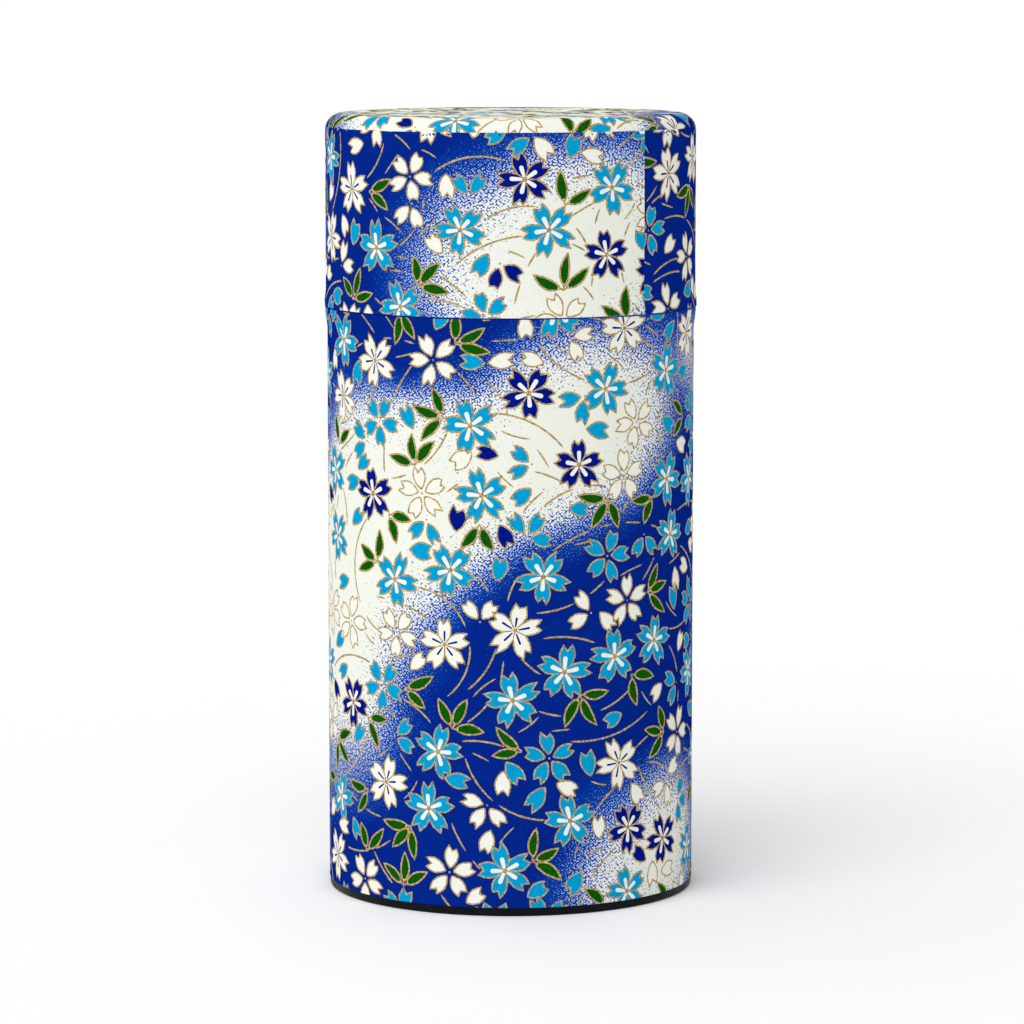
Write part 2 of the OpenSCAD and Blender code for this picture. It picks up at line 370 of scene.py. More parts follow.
def lid_section():
    """Section of the lid's side paper: up the wall to the shoulder, and folded in under the lower edge."""
    curve_from = TOP_Z - SHOULDER_R
    straight_from = CAP_EDGE_Z + LID_SWELL_H
    fold_z = CAP_EDGE_Z - LOOSE_FOLD
    heights = spaced(fold_z, straight_from, 0.5) + spaced(straight_from, curve_from, 2.0)[1:]
    heights += spaced(curve_from, SIDE_JOIN_Z, 0.25)[1:]
    edge = cap_wall_r(fold_z)
    turn = spaced(fold_z, CAP_EDGE_Z + LID_TURN, 0.5)
    outside = [(cap_wall_r(z) + PAPER_T, z) for z in heights]
    back = [(cap_wall_r(z), z) for z in reversed(heights)] + [(cap_wall_r(z) - TIN_T, z) for z in turn]
    hem = [(cap_wall_r(z) - TIN_T - PAPER_T, z) for z in reversed(turn)]
    fold = creased_fold(edge + PAPER_T, edge - TIN_T - PAPER_T, fold_z, fold_z - PAPER_T)[::-1]
    return outside + back + hem + fold, len(outside)


def pressed_disc(name, sheet):
    """The lid's top paper, a closed disc that follows the shoulder."""
    columns = COLUMNS
    rhos = spaced(0, FLAT_R, 2.0) + spaced(FLAT_R, sheet.reach, 0.3)[1:]
    points, flat, blue = [], [], []
    for height in (0, -PAPER_T):
        for rho in rhos:
            for i in range(columns):
                a = 2 * math.pi * i / columns
                u, v = rho * math.cos(a), rho * math.sin(a)
                points.append(sheet.at(u, v, height))
                flat.append((u, v, 0))
                blue.append(sheet.blue(u, v))
    n, side = len(rhos), len(rhos) * columns
    faces = []
    for i in range(columns):
        j = (i + 1) % columns
        for k in range(n - 1):
            a, b = k * columns, (k + 1) * columns
            faces.append((a + i, b + i, b + j, a + j))
            faces.append((side + a + i, side + a + j, side + b + j, side + b + i))
        rim = (n - 1) * columns
        faces.append((rim + i, side + rim + i, side + rim + j, rim + j))
    piece = make_mesh(name, points, faces)
    keep_print(piece.data, flat, blue)
    tidy_mesh(piece.data)
    return piece


def rounded_section(corners):
    """A closed section from (radius, height, fillet) corners."""
    steps = 5
    section = []
    count = len(corners)
    for i, (r, z, fillet) in enumerate(corners):
        here = Vector((r, z))
        before, after = Vector(corners[i - 1][:2]), Vector(corners[(i + 1) % count][:2])
        back, on = before - here, after - here
        if fillet <= 0 or back.length < 1e-9 or on.length < 1e-9:
            section.append((r, z))
            continue
        half = back.angle(on) / 2
        reach = min(fillet / math.tan(half), back.length * 0.49, on.length * 0.49)
        start, end = here + back.normalized() * reach, here + on.normalized() * reach
        for k in range(steps + 1):
            t = k / steps
            p = start * (1 - t) ** 2 + here * 2 * t * (1 - t) + end * t**2
            section.append((p.x, p.y))
    return section


def turned(name, section):
    """A closed solid turned about the centre line from a closed section."""
    columns = COLUMNS
    points = []
    for i in range(columns):
        a = 2 * math.pi * i / columns
        points += [(r * math.cos(a), r * math.sin(a), z) for r, z in section]
    piece = make_mesh(name, points, ring_faces(columns, len(section)))
    tidy_mesh(piece.data)
    return piece


# ---------------- printed motifs
# Flat points are complex numbers in millimetres: the real part runs right and the imaginary part up.

# Heights over the paper of filled shapes, of the strokes on them and of the gold lines
FILL, STROKE, LINE = 0.012, 0.018, 0.024
# Width of the gold lines
LINE_W = 0.31
INKS = ("cyan", "navy", "white", "green", "gold")


class FlatShapes:
    """Flat shapes of one ink, each point with the height at which its ink lies over the paper."""

    def __init__(self):
        self.points, self.faces = [], []

    def grid(self, rows, level):
        """Faces between neighbouring rows of points."""
        base, n = len(self.points), len(rows[0])
        self.points += [(p.real, p.imag, level) for row in rows for p in row]
        for i in range(len(rows) - 1):
            for j in range(n - 1):
                a = base + i * n + j
                self.faces.append((a, a + 1, a + n + 1, a + n))


def polar(radius, degrees):
    """The flat point at a distance from the origin, in a direction."""
    a = math.radians(degrees)
    return complex(radius * math.cos(a), radius * math.sin(a))


def curve_through(points, steps):
    """A smooth curve through some points, with a number of steps between two of them."""
    ends = [2 * points[0] - points[1], *points, 2 * points[-1] - points[-2]]
    curve = []
    for a, b, c, d in zip(ends, ends[1:], ends[2:], ends[3:]):
        for k in range(steps):
            t = k / steps
            bend = (2 * a - 5 * b + 4 * c - d) * t * t + (3 * b - a - 3 * c + d) * t**3
            curve.append((2 * b + (c - a) * t + bend) / 2)
    return curve + [points[-1]]


def mix(a, b, t):
    return a + (b - a) * t


def drawn_line(shapes, path, width, closed=False, taper=0.0):
    """A line of gold along a path, as wide as a drawn line is: never quite even. taper is the length
    over which its two ends narrow."""
    rows = []
    along = 0.0
    total = sum(abs(b - a) for a, b in zip(path, path[1:]))
    for i, p in enumerate(path):
        before = path[i - 1] if i or closed else None
        after = path[(i + 1) % len(path)] if i + 1 < len(path) or closed else None
        inward = (p - before) / (abs(p - before) or 1) if before is not None else None
        outward = (after - p) / (abs(after - p) or 1) if after is not None else None
        stretch = 1.0
        if inward is None or outward is None:
            way = inward if outward is None else outward
        else:
            way = inward + outward
            way = way / abs(way) if abs(way) > 1e-6 else outward
            stretch = min(1 / max((way * inward.conjugate()).real, 0.1), 1.5)
        if before is not None and i:
            along += abs(p - before)
        uneven = 1 + 0.4 * noise.noise(Vector((p.real * 2.3, p.imag * 2.3, 7.0)))
        near_end = min(along, total - along)
        thin = min(1.0, 0.35 + near_end / taper) if taper else 1.0
        side = way * 1j * (width / 2) * uneven * stretch * thin
        rows.append([p - side, p + side])
    if closed:
        rows.append(rows[0])
    shapes.grid(rows, LINE)


def rounded_bar(shapes, start, end, width):
    """A short bar with a rounded outer end and a narrower inner one."""
    way = (end - start) / abs(end - start)
    length, half = abs(end - start), width / 2
    rows = []
    for t in (0, 0.35, 0.7):
        reach = half * mix(0.6, 1.0, min(1, t * 2))
        centre = start + way * (length - half) * t / 0.7 if t else start
        rows.append([centre - way * 1j * reach, centre, centre + way * 1j * reach])
    for turn in (30, 60, 90):
        a = math.radians(turn)
        centre = start + way * (length - half + half * math.sin(a))
        reach = half * math.cos(a)
        rows.append([centre - way * 1j * reach, centre, centre + way * 1j * reach])
    shapes.grid(rows, STROKE)


def dot(shapes, centre, radius):
    """A small eight-sided dot."""
    ring = [centre + polar(radius, 45 * k) for k in range(9)]
    shapes.grid([[centre] * 9, ring], LINE)


# Half outlines of a petal, from its base to one of its two tips, for a blossom whose petals stand
# apart and for one whose petals are joined. The real part points away from the blossom's centre.
APART_SIDE = (0.9 + 0j, 1.5 + 0.62j, 2.4 + 1.18j, 3.4 + 1.46j, 4.4 + 1.3j, 5.3 + 0.92j)
JOINED_SIDE = (3.1 + 1.62j, 3.9 + 1.62j, 4.8 + 1.36j, 5.55 + 1.02j)
# Distances from the blossom's centre: the notch between the tips, the base of a petal that stands
# apart, and the point where two joined petals part
NOTCH_AT = 4.45
APART_BASE = 0.9
JOIN_R = 2.2


def petal_side(rng, outline, turn, centre, mirrored):
    """One half of a petal's outline, turned, sized and shifted into place, with a hand's unevenness."""
    long, wide = rng.uniform(0.94, 1.07), rng.uniform(0.9, 1.08)
    side = [complex(p.real * long, p.imag * wide * (-1 if mirrored else 1)) for p in outline]
    side[-1] += complex(rng.uniform(-0.15, 0.2), rng.uniform(-0.15, 0.15))
    return [centre + p * turn for p in side]


def draw_petal(inks, left, right, base, notch, fill, outline_from):
    """Fills a petal between its two sides, and lines it from a step of each side round its tips."""
    rows = []
    last = len(left) - 1
    for i, (p, q) in enumerate(zip(left, right)):
        middle = mix(base, notch, i / last)
        rows.append([p, mix(p, middle, 0.5), middle, mix(q, middle, 0.5), q])
    inks[fill].grid(rows, FILL)
    tip_in = [mix(left[-1], notch, t) for t in (0.33, 0.67, 1)]
    tip_out = [mix(notch, right[-1], t) for t in (0.33, 0.67)]
    path = left[outline_from:] + tip_in + tip_out + list(reversed(right[outline_from:]))
    drawn_line(inks["gold"], path, LINE_W)


def draw_apart_petal(rng, inks, centre, turn, size, fill):
    """A petal with a pointed base."""
    left = curve_through(petal_side(rng, APART_SIDE, turn * size, centre, False), 2)
    right = curve_through(petal_side(rng, APART_SIDE, turn * size, centre, True), 2)
    base = centre + APART_BASE * turn * size
    left[0] = right[0] = base
    notch = centre + complex(NOTCH_AT + rng.uniform(-0.2, 0.2), rng.uniform(-0.15, 0.15)) * turn * size
    draw_petal(inks, left, right, base, notch, fill, 0)


def draw_apart_blossom(rng, inks, centre, size, fill, start, petals=5):
    """Petals that stand apart round a small gold centre."""
    for k in range(petals):
        turn = polar(1, start + 72 * k + rng.uniform(-4, 4))
        draw_apart_petal(rng, inks, centre, turn, size, fill)
    dot(inks["gold"], centre, 0.22 * size)


def draw_joined_blossom(rng, inks, centre, size, fill, strokes):
    """Five petals that share their lower edges, with a stroke along each petal."""
    start = rng.uniform(0, 360)
    axes = [start + 72 * k + rng.uniform(-4, 4) for k in range(5)]
    joins = []
    for k in range(5):
        after = axes[(k + 1) % 5] + (360 if k == 4 else 0)
        joins.append(centre + polar(size * JOIN_R * rng.uniform(0.85, 1.12), (axes[k] + after) / 2))
    for k in range(5):
        turn = polar(size, axes[k])
        left_outer = petal_side(rng, JOINED_SIDE, turn, centre, False)
        right_outer = petal_side(rng, JOINED_SIDE, turn, centre, True)
        left = [centre] + curve_through([joins[k]] + left_outer, 2)
        right = [centre] + curve_through([joins[k - 1]] + right_outer, 2)
        notch = centre + complex(NOTCH_AT + rng.uniform(-0.2, 0.2), rng.uniform(-0.15, 0.15)) * turn
        draw_petal(inks, left, right, centre, notch, fill, 1)
        drawn_line(inks["gold"], [centre, mix(centre, joins[k], 0.5), joins[k]], LINE_W * 0.9)
        lean = turn * polar(1, rng.uniform(-5, 5))
        if strokes == "white":
            end = centre + lean * rng.uniform(2.9, 3.3)
            rounded_bar(inks["white"], centre + lean * 0.5, end, 0.92 * size)
        else:
            end = centre + lean * rng.uniform(2.7, 3.2)
            rounded_bar(inks["navy"], centre + lean * 0.7, end, 0.46 * size)
    dot(inks["gold"], centre, 0.42 * size)


def draw_leaf(rng, inks, base, way, length, width):
    """A pointed leaf: gold outline, a pale margin and a green middle."""
    bend = rng.uniform(-0.07, 0.07) * length
    spans = 10

    def section(t, inset):
        middle = base + way * complex(length * t, bend * math.sin(math.pi * t))
        half = width / 2 * math.sin(math.pi * t**0.85) ** 0.85
        reach = max(half - inset, 0) * way * 1j
        return [middle + reach, middle, middle - reach]

    rows = [section(i / spans, 0) for i in range(spans + 1)]
    inks["white"].grid(rows, FILL * 0.8)
    inks["green"].grid([section(mix(0.08, 0.94, i / spans), 0.2) for i in range(spans + 1)], FILL * 1.3)
    left = [r[0] for r in rows]
    right = [r[2] for r in rows]
    drawn_line(inks["gold"], left + list(reversed(right[1:-1])), LINE_W * 1.1, closed=True)


# ---------------- layout of the print


class Layout:
    """Which parts of a flat sheet, and of a margin round it, are taken, on a grid of small cells."""

    CELL = 0.5
    MARGIN = 9.0

    def __init__(self, window):
        low_u, low_v, high_u, high_v = window
        self.low_u, self.low_v = low_u - self.MARGIN, low_v - self.MARGIN
        self.high_u, self.high_v = high_u + self.MARGIN, high_v + self.MARGIN
        columns = int((self.high_u - self.low_u) / self.CELL) + 1
        rows = int((self.high_v - self.low_v) / self.CELL) + 1
        self.taken = np.zeros((rows, columns), bool)
        self.cell_v, self.cell_u = np.mgrid[0:rows, 0:columns] * self.CELL

    def random_place(self, rng, beyond):
        """A random place on the sheet, or up to some way beyond its edges."""
        inset = self.MARGIN - beyond
        u = rng.uniform(self.low_u + inset, self.high_u - inset)
        return complex(u, rng.uniform(self.low_v + inset, self.high_v - inset))

    def cell_at(self, p):
        """Row and column of the cell that holds a point."""
        return int((p.imag - self.low_v) / self.CELL), int((p.real - self.low_u) / self.CELL)

    def free(self, places):
        """Whether all of some points lie in free cells."""
        rows, columns = self.taken.shape
        for p in places:
            i, j = self.cell_at(p)
            if not (0 <= i < rows and 0 <= j < columns) or self.taken[i, j]:
                return False
        return True

    def take(self, p, radius):
        """Marks the cells inside a circle as taken."""
        reach = int(radius / self.CELL) + 1
        i, j = self.cell_at(p)
        part = np.s_[max(i - reach, 0):i + reach + 1, max(j - reach, 0):j + reach + 1]
        du = self.cell_u[part] + self.low_u - p.real
        dv = self.cell_v[part] + self.low_v - p.imag
        self.taken[part] |= du * du + dv * dv < radius * radius


def ring(centre, radius):
    """Eight points round a centre."""
    return [centre + polar(radius, 45 * k) for k in range(8)]


# Shares of each kind of blossom and each colour of loose petal, on the blue ground and on the white
BLUE_BLOSSOMS = {"cyan_barred": 40, "white_stroked": 30, "white_apart": 16, "cyan_apart": 14}
WHITE_BLOSSOMS = {"cyan_barred": 36, "navy_barred": 30, "white_apart": 20, "cyan_apart": 14}
BLUE_PETALS = {"cyan": 5, "white": 5}
WHITE_PETALS = {"cyan": 5, "navy": 3, "white": 2}
# How far a blossom's petals reach
BLOSSOM_R = 5.3
# How often a spray of leaves or a tendril is tried in a new direction
TRIES = 14


def chosen(rng, sheet, p, on_blue, on_white):
    """A random name from one of two tables of shares, by the ground at a point."""
    shares = on_blue if sheet.blue(p.real, p.imag) > 0.5 else on_white
    return rng.choices(list(shares), weights=list(shares.values()))[0]


def place_blossoms(rng, layout, sheet, inks):
    """Blossoms all over the sheet, no two closer than a blossom's width."""
    low_u, low_v, high_u, high_v = sheet.window()
    beyond, spacing, share = 6.0, 10.4, 208.0
    wanted = (high_u - low_u + 2 * beyond) * (high_v - low_v + 2 * beyond) / share
    centres = []
    for _ in range(30000):
        if len(centres) >= wanted:
            break
        p = layout.random_place(rng, beyond)
        if all(abs(p - q) > spacing for q in centres):
            centres.append(p)
    for p in centres:
        kind = chosen(rng, sheet, p, BLUE_BLOSSOMS, WHITE_BLOSSOMS)
        size = rng.uniform(0.93, 1.01)
        fill, style = kind.split("_")
        if style == "apart":
            draw_apart_blossom(rng, inks, p, size, fill, rng.uniform(0, 360))
        else:
            draw_joined_blossom(rng, inks, p, size, fill, "white" if style == "barred" else "navy")
        layout.take(p, BLOSSOM_R * size)
    return centres


def place_leaves(rng, layout, inks, centres):
    """Fans of two or three leaves beside some of the blossoms."""
    leafy_share = 0.62
    for p in centres:
        if rng.random() > leafy_share:
            continue
        for _ in range(TRIES):
            facing = rng.uniform(0, 360)
            root = p + polar(5.9, facing)
            fan = (-56, 0, 56) if rng.random() < 0.75 else (-32, 32)
            leaves = [(polar(1, facing + a + rng.uniform(-9, 9)), rng.uniform(5.0, 6.7)) for a in fan]
            spots = [
                root + way * (length * t + side * 1j)
                for way, length in leaves for t in (0.4, 0.75, 1.05) for side in (-0.9, 0.9)
            ]
            if layout.free(spots):
                for way, length in leaves:
                    draw_leaf(rng, inks, root + way * 0.8, way, length, rng.uniform(1.95, 2.3))
                    drawn_line(inks["gold"], [root, root + way * 0.9], LINE_W * 1.2)
                    for t in (0.25, 0.5, 0.75, 1):
                        layout.take(root + way * length * t, 1.3)
                break


def place_tendrils(rng, layout, drawn, inks, centres):
    """Long thin arcs that start at blossoms and pass behind the others. drawn keeps where they run."""
    step, trailing_share, least_length = 0.8, 0.85, 8
    for p in centres:
        if rng.random() > trailing_share:
            continue
        for _ in range(TRIES):
            heading = rng.uniform(-55, 55) + rng.choice((0, 180))
            bend = math.degrees(step / rng.uniform(12, 30)) * rng.choice((-1, 1))
            count = int(rng.uniform(16, 38) / step)
            here = p + polar(5.0, heading + rng.uniform(-50, 50))
            runs, run = [], []
            for k in range(count):
                if layout.free([here]):
                    run.append(here)
                else:
                    runs.append(run)
                    run = []
                here += polar(step, heading + bend * k)
            runs.append(run)
            kept = [r for r in runs if len(r) > 3]
            length = sum(len(r) for r in kept)
            if length * step > least_length and all(drawn.free(r) for r in kept):
                for r in kept:
                    drawn_line(inks["gold"], r, LINE_W * 1.2, taper=1.2)
                    for q in r:
                        drawn.take(q, 1.4)
                break


def place_fragments(rng, layout, sheet, inks, centres):
    """Two or three petals of a blossom that has mostly fallen, in the wider gaps."""
    wanted = len(centres) // 6
    for _ in range(4000):
        if not wanted:
            return
        p, start, petals = layout.random_place(rng, 3.0), rng.uniform(0, 360), rng.choice((2, 3))
        axes = [polar(1, start + 72 * k) for k in range(petals)]
        spots = [
            p + way * (out + side * 1j)
            for way in axes for out in (2.2, 3.8, 5.4) for side in (-1.2, 1.2)
        ]
        if not layout.free([p] + spots):
            continue
        fill = chosen(rng, sheet, p, BLUE_PETALS, WHITE_PETALS)
        draw_apart_blossom(rng, inks, p, rng.uniform(0.93, 1.01), fill, start, petals)
        for way in axes:
            for out in (1.5, 3.0, 4.5):
                layout.take(p + way * out, 1.7)
        wanted -= 1


def place_petals(rng, layout, drawn, sheet, inks, count):
    """Loose petals in the gaps."""
    for _ in range(12000):
        if not count:
            return
        p = layout.random_place(rng, 3.0)
        facing = rng.uniform(0, 360)
        way = polar(1, facing)
        tests = [p] + ring(p, 1.4) + [p + way * 2.6, p - way * 2.5]
        if not (layout.free(tests) and drawn.free(tests)):
            continue
        fill = chosen(rng, sheet, p, BLUE_PETALS, WHITE_PETALS)
        size = rng.uniform(1.0, 1.18)
        draw_apart_petal(rng, inks, p - way * 3.1 * size, way, size, fill)
        for t in (-1.2, 0, 1.3):
            layout.take(p + way * t, 1.9)
        count -= 1


def place_dashes(rng, layout, drawn, inks, count):
    """Short strokes in the gaps that are left."""
    for _ in range(12000):
        if not count:
            return
        p = layout.random_place(rng, 2.0)
        heading, bend = rng.uniform(-60, 60), rng.uniform(-5, 5)
        path = [p]
        for k in range(int(rng.uniform(5, 11))):
            path.append(path[-1] + polar(0.75, heading + bend * k))
        if layout.free(path) and drawn.free(path):
            drawn_line(inks["gold"], path, LINE_W * 1.05, taper=1.2)
            for q in path:
                drawn.take(q, 1.6)
            count -= 1


def print_sheet(name, sheet, body, seed):
    """Prints one flat sheet in five inks, and wraps each ink as a thin layer over the paper."""
    rng = random.Random(seed)
    inks = {ink: FlatShapes() for ink in INKS}
    layout = Layout(sheet.window())
    centres = place_blossoms(rng, layout, sheet, inks)
    place_leaves(rng, layout, inks, centres)
    place_fragments(rng, layout, sheet, inks, centres)
    drawn = Layout(sheet.window())
    place_tendrils(rng, layout, drawn, inks, centres)
    place_petals(rng, layout, drawn, sheet, inks, len(centres))
    place_dashes(rng, layout, drawn, inks, len(centres) // 2)
    for ink, shapes in inks.items():
        piece = wrapped_ink(f"{name}_{ink}_ink", sheet, shapes)
        finish_piece(piece, body, INK_MATERIALS[ink])


def clipped(shapes, sheet):
    """The flat mesh of some shapes, cut at the sheet's edges. The third coordinate is the ink's height."""
    bm = bmesh.new()
    verts = [bm.verts.new(p) for p in shapes.points]
    for face in shapes.faces:
        a, b, c, d = (shapes.points[i] for i in face)
        area = (c[0] - a[0]) * (d[1] - b[1]) - (c[1] - a[1]) * (d[0] - b[0])
        if abs(area) > 1e-7:
            bm.faces.new([verts[i] for i in (face if area > 0 else reversed(face))])
    bmesh.ops.delete(bm, geom=[v for v in bm.verts if not v.link_faces], context="VERTS")
    bmesh.ops.remove_doubles(bm, verts=bm.verts, dist=1e-4)
    bmesh.ops.dissolve_degenerate(bm, dist=1e-4, edges=bm.edges)
    for (u, v), (way_u, way_v) in sheet.clip_planes():
        beyond = [
            f for f in bm.faces
            if any((p.co.x - u) * way_u + (p.co.y - v) * way_v > 0 for p in f.verts)
        ]
        if beyond:
            edges = dict.fromkeys(e for f in beyond for e in f.edges)
            points = dict.fromkeys(p for f in beyond for p in f.verts)
            bmesh.ops.bisect_plane(
                bm, geom=[*points, *edges, *beyond], dist=1e-5,
                plane_co=(u, v, 0), plane_no=(way_u, way_v, 0), clear_outer=True,
            )
    longest = 0.5
    for _ in range(sheet.bend_passes):
        long_edges = [
            e for e in bm.edges
            if e.calc_length() > longest and any(sheet.bends_at(p.co) for p in e.verts)
        ]
        if long_edges:
            bmesh.ops.subdivide_edges(bm, edges=long_edges, cuts=1, use_grid_fill=True)
    return bm


def wrapped_ink(name, sheet, shapes):
    """Thin closed solids of ink on the wrapped paper, sunk a little into it."""
    sunk = -0.01
    bm = clipped(shapes, sheet)
    bm.verts.index_update()
    top = [tuple(p.co) for p in bm.verts]
    count = len(top)
    points = [sheet.at(u, v, level) for u, v, level in top] + [sheet.at(u, v, sunk) for u, v, _ in top]
    faces = []
    for f in bm.faces:
        corners = [p.index for p in f.verts]
        faces.append(corners)
        faces.append([i + count for i in reversed(corners)])
    for e in bm.edges:
        if len(e.link_loops) == 1:
            loop = e.link_loops[0]
            a, b = loop.vert.index, loop.link_loop_next.vert.index
            faces.append([b, a, a + count, b + count])
    bm.free()
    return make_mesh(name, points, faces)


# ---------------- materials


def srgb(red, green, blue):
    """A colour from its 0 to 255 screen values."""
    def linear(x):
        x /= 255
        return x / 12.92 if x <= 0.04045 else ((x + 0.055) / 1.055) ** 2.4
    return (linear(red), linear(green), linear(blue), 1)


class Nodes:
    """A new material's nodes. Each helper returns the output that the next one takes."""

    def __init__(self, name, roughness, metallic=0.0, specular=0.5, colour=(0.8, 0.8, 0.8, 1)):
        self.material = bpy.data.materials.new(name)
        self.material.use_nodes = True
        self.tree = self.material.node_tree
        self.shader = self.tree.nodes["Principled BSDF"]
        self.shader.inputs["Base Color"].default_value = colour
        self.shader.inputs["Roughness"].default_value = roughness
        self.shader.inputs["Metallic"].default_value = metallic
        self.shader.inputs["Specular IOR Level"].default_value = specular

    def link(self, source, target):
        self.tree.links.new(source, target)

    def add(self, kind, vector=None, **values):
        """A new node, with some of its inputs set."""
        node = self.tree.nodes.new("ShaderNode" + kind)
        for name, value in values.items():
            node.inputs[name].default_value = value
        if vector:
            self.link(vector, node.inputs["Vector"])
        return node

    def attribute(self, name, output):
        node = self.add("Attribute")
        node.attribute_name = name
        return node.outputs[output]

    def position(self):
        return self.add("TexCoord").outputs["Object"]

    def mapping(self, vector, scale=(1, 1, 1), rotation=(0, 0, 0)):
        return self.add("Mapping", vector, Scale=scale, Rotation=rotation).outputs["Vector"]

    def noise(self, vector, scale, detail=2.0, roughness=0.5, distortion=0.0):
        values = {"Scale": scale, "Detail": detail, "Roughness": roughness, "Distortion": distortion}
        return self.add("TexNoise", vector, **values).outputs["Fac"]

    def cells(self, vector):
        """Distance to the nearest of many scattered points, about one for each unit square."""
        node = self.add("TexVoronoi", vector, Scale=1.0, Randomness=0.7)
        node.voronoi_dimensions = "2D"
        return node.outputs["Distance"]

    def math(self, operation, a, b, clamp=False):
        node = self.add("Math")
        node.operation = operation
        node.use_clamp = clamp
        for value, socket in zip((a, b), node.inputs):
            if isinstance(value, (int, float)):
                socket.default_value = value
            else:
                self.link(value, socket)
        return node.outputs["Value"]

    def remap(self, value, from_low, from_high, to_low, to_high):
        ends = {"From Min": from_low, "From Max": from_high, "To Min": to_low, "To Max": to_high}
        node = self.add("MapRange", **ends)
        self.link(value, node.inputs["Value"])
        return node.outputs["Result"]

    def colours(self, factor, a, b):
        """One colour where factor is 0 and another where it is 1."""
        node = self.add("Mix")
        node.data_type = "RGBA"
        self.link(factor, node.inputs["Factor"])
        for value, index in ((a, 6), (b, 7)):
            if isinstance(value, tuple):
                node.inputs[index].default_value = value
            else:
                self.link(value, node.inputs[index])
        return node.outputs[2]

    def bump(self, height, distance):
        """Raises the shader's surface by a height from 0 to 1, times a distance in metres."""
        node = self.add("Bump", Strength=1.0, Distance=distance)
        self.link(height, node.inputs["Height"])
        self.link(node.outputs["Normal"], self.shader.inputs["Normal"])


PAPER_WHITE = srgb(235, 237, 226)
PAPER_SHADE = srgb(231, 234, 222)
GROUND_BLUE_THIN = srgb(10, 76, 182)
GROUND_BLUE_DEEP = srgb(4, 37, 133)
# The white specks take on some ink where the blue is nearly solid
SPECK_BLUE = srgb(96, 148, 214)


def printed_ground():
    """Matt fibrous paper, with a blue ground that breaks up into fine dots where it fades out."""
    n = Nodes("printed_ground", roughness=0.7, specular=0.0)
    flat = n.attribute("flat", "Vector")
    fade = n.attribute("blue", "Fac")
    screen = n.mapping(flat, scale=(1.95, 2.3, 1), rotation=(0, 0, math.radians(-38)))
    uneven = n.math("MULTIPLY", n.math("SUBTRACT", n.noise(flat, 2.2, detail=1.0), 0.5), 0.9)
    reach = n.math("ADD", n.remap(fade, 0.0, 1.0, 0.98, -0.12), uneven)
    edge = n.math("MULTIPLY", n.math("SUBTRACT", n.cells(screen), reach), 9.0)
    inked = n.math("ADD", edge, 0.5, clamp=True)
    fibres = n.noise(n.mapping(flat, scale=(1.0, 0.25, 1)), 2.2, detail=4.0, distortion=0.8)
    cloud = n.math("MULTIPLY", n.math("SUBTRACT", n.noise(flat, 0.06, detail=2.0), 0.5), 0.4)
    paper = n.colours(n.remap(fibres, 0.3, 0.7, 0, 1), PAPER_SHADE, PAPER_WHITE)
    depth = n.remap(n.math("ADD", fade, cloud), 0.4, 0.95, 0, 1)
    blue = n.colours(depth, GROUND_BLUE_THIN, GROUND_BLUE_DEEP)
    speck = n.colours(n.remap(fade, 0.45, 0.85, 0, 1), paper, SPECK_BLUE)
    n.link(n.colours(inked, speck, blue), n.shader.inputs["Base Color"])
    n.link(n.remap(inked, 0, 1, 0.78, 0.62), n.shader.inputs["Roughness"])
    n.bump(n.math("ADD", fibres, n.math("MULTIPLY", inked, 0.25)), 0.00003)
    return n.material


def ink(name, colour, darker, specular=0.0, metallic=0.0, roughness=0.55, grain=1500.0):
    """A layer of ink with a slightly uneven lay."""
    n = Nodes(name, roughness=roughness, specular=specular, metallic=metallic)
    lay = n.noise(n.position(), grain, detail=2.0)
    shade = n.colours(n.remap(lay, 0.35, 0.65, 0, 1), darker, colour)
    n.link(shade, n.shader.inputs["Base Color"])
    n.link(n.remap(lay, 0.3, 0.7, roughness + 0.08, roughness - 0.08), n.shader.inputs["Roughness"])
    n.bump(lay, 0.00001)
    return n.material


def metal(name, colour, roughness, spread, grain_scale, wear_scale):
    """Bare rolled metal under a thin film of oxide: a fine grain drawn out round the piece, and cloudy
    rubbing marks. The film scatters a little light, so the inside of a tin isn't black."""
    n = Nodes(name, roughness=roughness, metallic=0.82)
    place = n.position()
    grain = n.noise(n.mapping(place, scale=grain_scale), 1.0, detail=3.0)
    wear = n.noise(place, wear_scale, detail=5.0, roughness=0.6)
    dull = tuple(c * 0.88 for c in colour[:3]) + (1,)
    n.link(n.colours(n.remap(wear, 0.3, 0.7, 0, 1), dull, colour), n.shader.inputs["Base Color"])
    mixed = n.math("ADD", n.math("MULTIPLY", grain, 0.6), n.math("MULTIPLY", wear, 0.4))
    n.link(n.remap(mixed, 0.3, 0.7, roughness - spread, roughness + spread), n.shader.inputs["Roughness"])
    n.bump(grain, 0.000006)
    return n.material


def black_lacquer():
    """Satin black lacquer, rubbed a little greyer in patches."""
    n = Nodes("black_lacquer", roughness=0.38, specular=0.08)
    wear = n.noise(n.position(), 260.0, detail=5.0, roughness=0.65)
    shade = n.colours(n.remap(wear, 0.45, 0.75, 0, 1), srgb(9, 11, 15), srgb(20, 22, 27))
    n.link(shade, n.shader.inputs["Base Color"])
    n.link(n.remap(wear, 0.3, 0.7, 0.3, 0.5), n.shader.inputs["Roughness"])
    n.bump(n.noise(n.position(), 1800.0, detail=1.0), 0.00001)
    return n.material


def knob_plastic():
    """Moulded black plastic with a soft gloss and faint handling marks."""
    n = Nodes("knob_plastic", roughness=0.3, specular=0.5)
    marks = n.noise(n.position(), 420.0, detail=6.0, roughness=0.7)
    shade = n.colours(n.remap(marks, 0.4, 0.7, 0, 1), srgb(14, 14, 16), srgb(30, 30, 33))
    n.link(shade, n.shader.inputs["Base Color"])
    n.link(n.remap(marks, 0.3, 0.7, 0.22, 0.4), n.shader.inputs["Roughness"])
    n.bump(marks, 0.000008)
    return n.material


